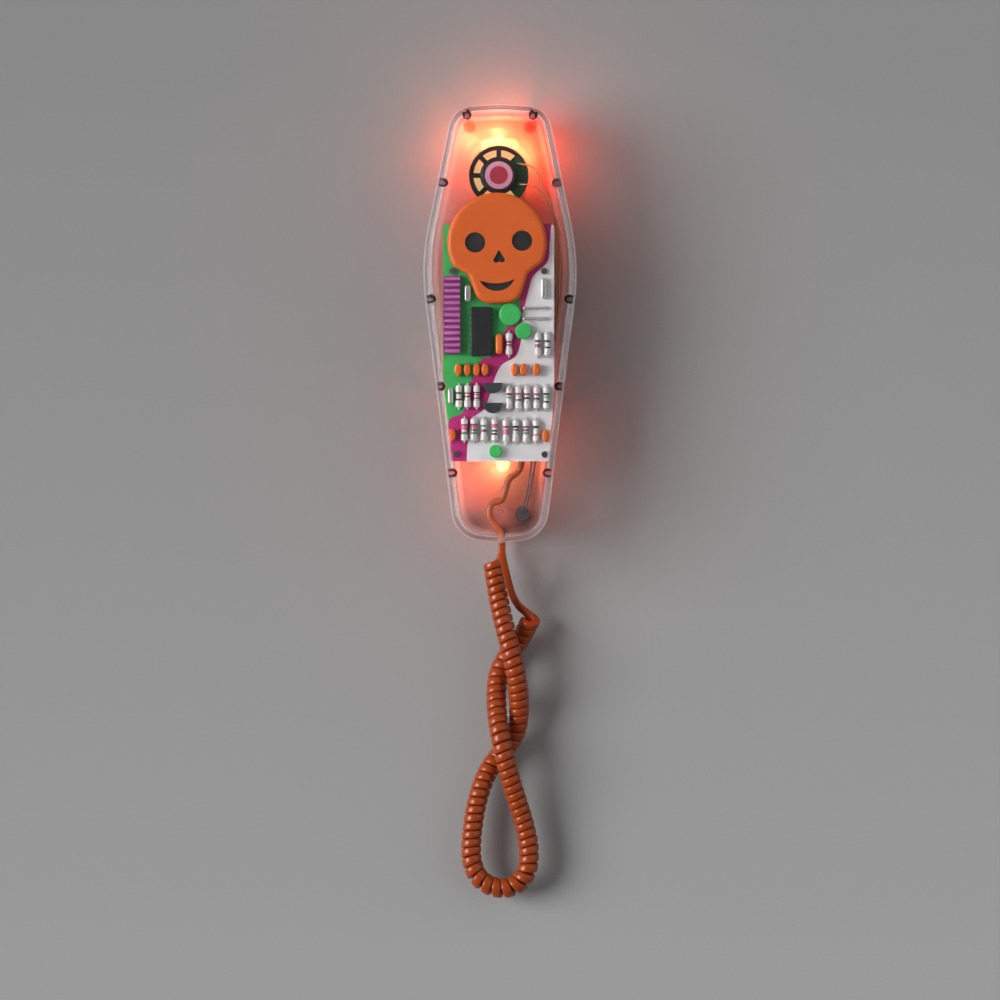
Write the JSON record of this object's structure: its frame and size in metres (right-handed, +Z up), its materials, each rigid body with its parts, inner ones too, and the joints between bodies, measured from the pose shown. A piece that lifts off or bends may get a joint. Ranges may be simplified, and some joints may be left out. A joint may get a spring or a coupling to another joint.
{
  "type": "novelty telephone",
  "caption": "Coffin-shaped clear wall telephone with a smiling skull on its circuit board, a lit cradle, push keys on the hidden face and a curly cord.",
  "frame": {"origin": "midway between the two wall keyholes, on the wall plane that the cradle's back lies on", "axes": "+Y into the wall, -Y towards the viewer, +Z up the coffin, +X to the right seen from the front"},
  "size_m": [0.077, 0.05, 0.3973],
  "materials": {
    "clear_shell": "clear gloss",
    "steel_screw": "satin",
    "board_print": "printed in green, magenta and white",
    "skull_orange": "matte",
    "skull_slate": "matte",
    "receiver_black": "satin",
    "receiver_label": "matte",
    "receiver_cone": "matte",
    "terminal_green": "gloss",
    "copper_wire": "gloss",
    "capsule_metal": "satin",
    "rubber_black": "matte",
    "resistor_body": "gloss",
    "disc_orange": "gloss",
    "disc_green": "gloss",
    "chip_black": "matte",
    "pin_metal": "gloss",
    "choke_purple": "satin",
    "case_slate": "matte",
    "can_metal": "satin",
    "mat_grey": "matte",
    "board_green": "gloss",
    "key_white": "satin",
    "cord_orange": "satin",
    "spring_steel": "satin",
    "switch_black": "matte",
    "jack_grey": "gloss",
    "lamp_glass": "clear, lit",
    "holder_white": "matte"
  },
  "bodies": {
    "base": {"base_front_shell": "clear_shell", "base_back_plate": "clear_shell", "base_screws": "steel_screw", "base_cord_bush": "rubber_black", "base_lead": "cord_orange", "hanger_clip": "clear_shell", "hook_spring": "spring_steel", "hook_switch": "switch_black", "line_board": "board_green", "line_jack": "jack_grey", "ringer_sounder": "switch_black", "ringer_switch": "switch_black", "upper_lamp": "lamp_glass", "lower_lamp": "lamp_glass", "lamp_holders": "holder_white", "curly_cord": "cord_orange", "handset_lead": "cord_orange"},
    "handset": {"handset_back_cover": "clear_shell", "handset_face_cover": "clear_shell", "handset_screws": "steel_screw", "circuit_board": "board_print", "board_screws": "steel_screw", "skull_plate": "skull_orange", "skull_inlays": "skull_slate", "receiver_frame": "receiver_black", "receiver_magnet": "receiver_black", "receiver_label": "receiver_label", "receiver_cone": "receiver_cone", "receiver_terminal": "terminal_green", "receiver_wires": "copper_wire", "microphone_capsule": "capsule_metal", "microphone_boot": "rubber_black", "microphone_wires": "rubber_black", "resistors": "resistor_body", "disc_capacitors": "disc_orange", "green_discs": "disc_green", "dial_chip": "chip_black", "chip_pins": "pin_metal", "ribbed_choke": "choke_purple", "film_capacitor": "disc_orange", "transistors": "case_slate", "wire_jumpers": "can_metal", "crystal_cans": "can_metal", "keypad_mat": "mat_grey", "keypad_board": "board_green", "inner_cord": "cord_orange"},
    "plunger": {"hook_plunger": "key_white"},
    "ringer": {"ringer_knob": "switch_black"},
    "button_1": {"key_1": "key_white"},
    "button_2": {"key_2": "key_white"},
    "button_3": {"key_3": "key_white"},
    "button_4": {"key_4": "key_white"},
    "button_5": {"key_5": "key_white"},
    "button_6": {"key_6": "key_white"},
    "button_7": {"key_7": "key_white"},
    "button_8": {"key_8": "key_white"},
    "button_9": {"key_9": "key_white"},
    "button_star": {"key_star": "key_white"},
    "button_0": {"key_0": "key_white"},
    "button_hash": {"key_hash": "key_white"}
  },
  "joints": [
    {"name": "handset_lift", "type": "slide", "parent": "base", "child": "handset", "axis": [0, -0.8192, 0.5736], "range_m": [0, 0.04]},
    {"name": "hook_plunge", "type": "slide", "parent": "base", "child": "plunger", "axis": [0, -1, 0], "range_m": [0, 0.004], "deforming": ["hook_spring"]},
    {"name": "ringer_slide", "type": "slide", "parent": "base", "child": "ringer", "axis": [0, 0, 1], "range_m": [0, 0.004]},
    {"name": "press_1", "type": "slide", "parent": "handset", "child": "button_1", "axis": [0, -1, 0], "range_m": [0, 0.0015], "stiffness_N_per_m": 400},
    {"name": "press_2", "type": "slide", "parent": "handset", "child": "button_2", "axis": [0, -1, 0], "range_m": [0, 0.0015], "stiffness_N_per_m": 400},
    {"name": "press_3", "type": "slide", "parent": "handset", "child": "button_3", "axis": [0, -1, 0], "range_m": [0, 0.0015], "stiffness_N_per_m": 400},
    {"name": "press_4", "type": "slide", "parent": "handset", "child": "button_4", "axis": [0, -1, 0], "range_m": [0, 0.0015], "stiffness_N_per_m": 400},
    {"name": "press_5", "type": "slide", "parent": "handset", "child": "button_5", "axis": [0, -1, 0], "range_m": [0, 0.0015], "stiffness_N_per_m": 400},
    {"name": "press_6", "type": "slide", "parent": "handset", "child": "button_6", "axis": [0, -1, 0], "range_m": [0, 0.0015], "stiffness_N_per_m": 400},
    {"name": "press_7", "type": "slide", "parent": "handset", "child": "button_7", "axis": [0, -1, 0], "range_m": [0, 0.0015], "stiffness_N_per_m": 400},
    {"name": "press_8", "type": "slide", "parent": "handset", "child": "button_8", "axis": [0, -1, 0], "range_m": [0, 0.0015], "stiffness_N_per_m": 400},
    {"name": "press_9", "type": "slide", "parent": "handset", "child": "button_9", "axis": [0, -1, 0], "range_m": [0, 0.0015], "stiffness_N_per_m": 400},
    {"name": "press_star", "type": "slide", "parent": "handset", "child": "button_star", "axis": [0, -1, 0], "range_m": [0, 0.0015], "stiffness_N_per_m": 400},
    {"name": "press_0", "type": "slide", "parent": "handset", "child": "button_0", "axis": [0, -1, 0], "range_m": [0, 0.0015], "stiffness_N_per_m": 400},
    {"name": "press_hash", "type": "slide", "parent": "handset", "child": "button_hash", "axis": [0, -1, 0], "range_m": [0, 0.0015], "stiffness_N_per_m": 400}
  ],
  "couplings": [
    {"joint": "hook_plunge", "follows": "handset_lift", "ratio": 0.099999}
  ]
}
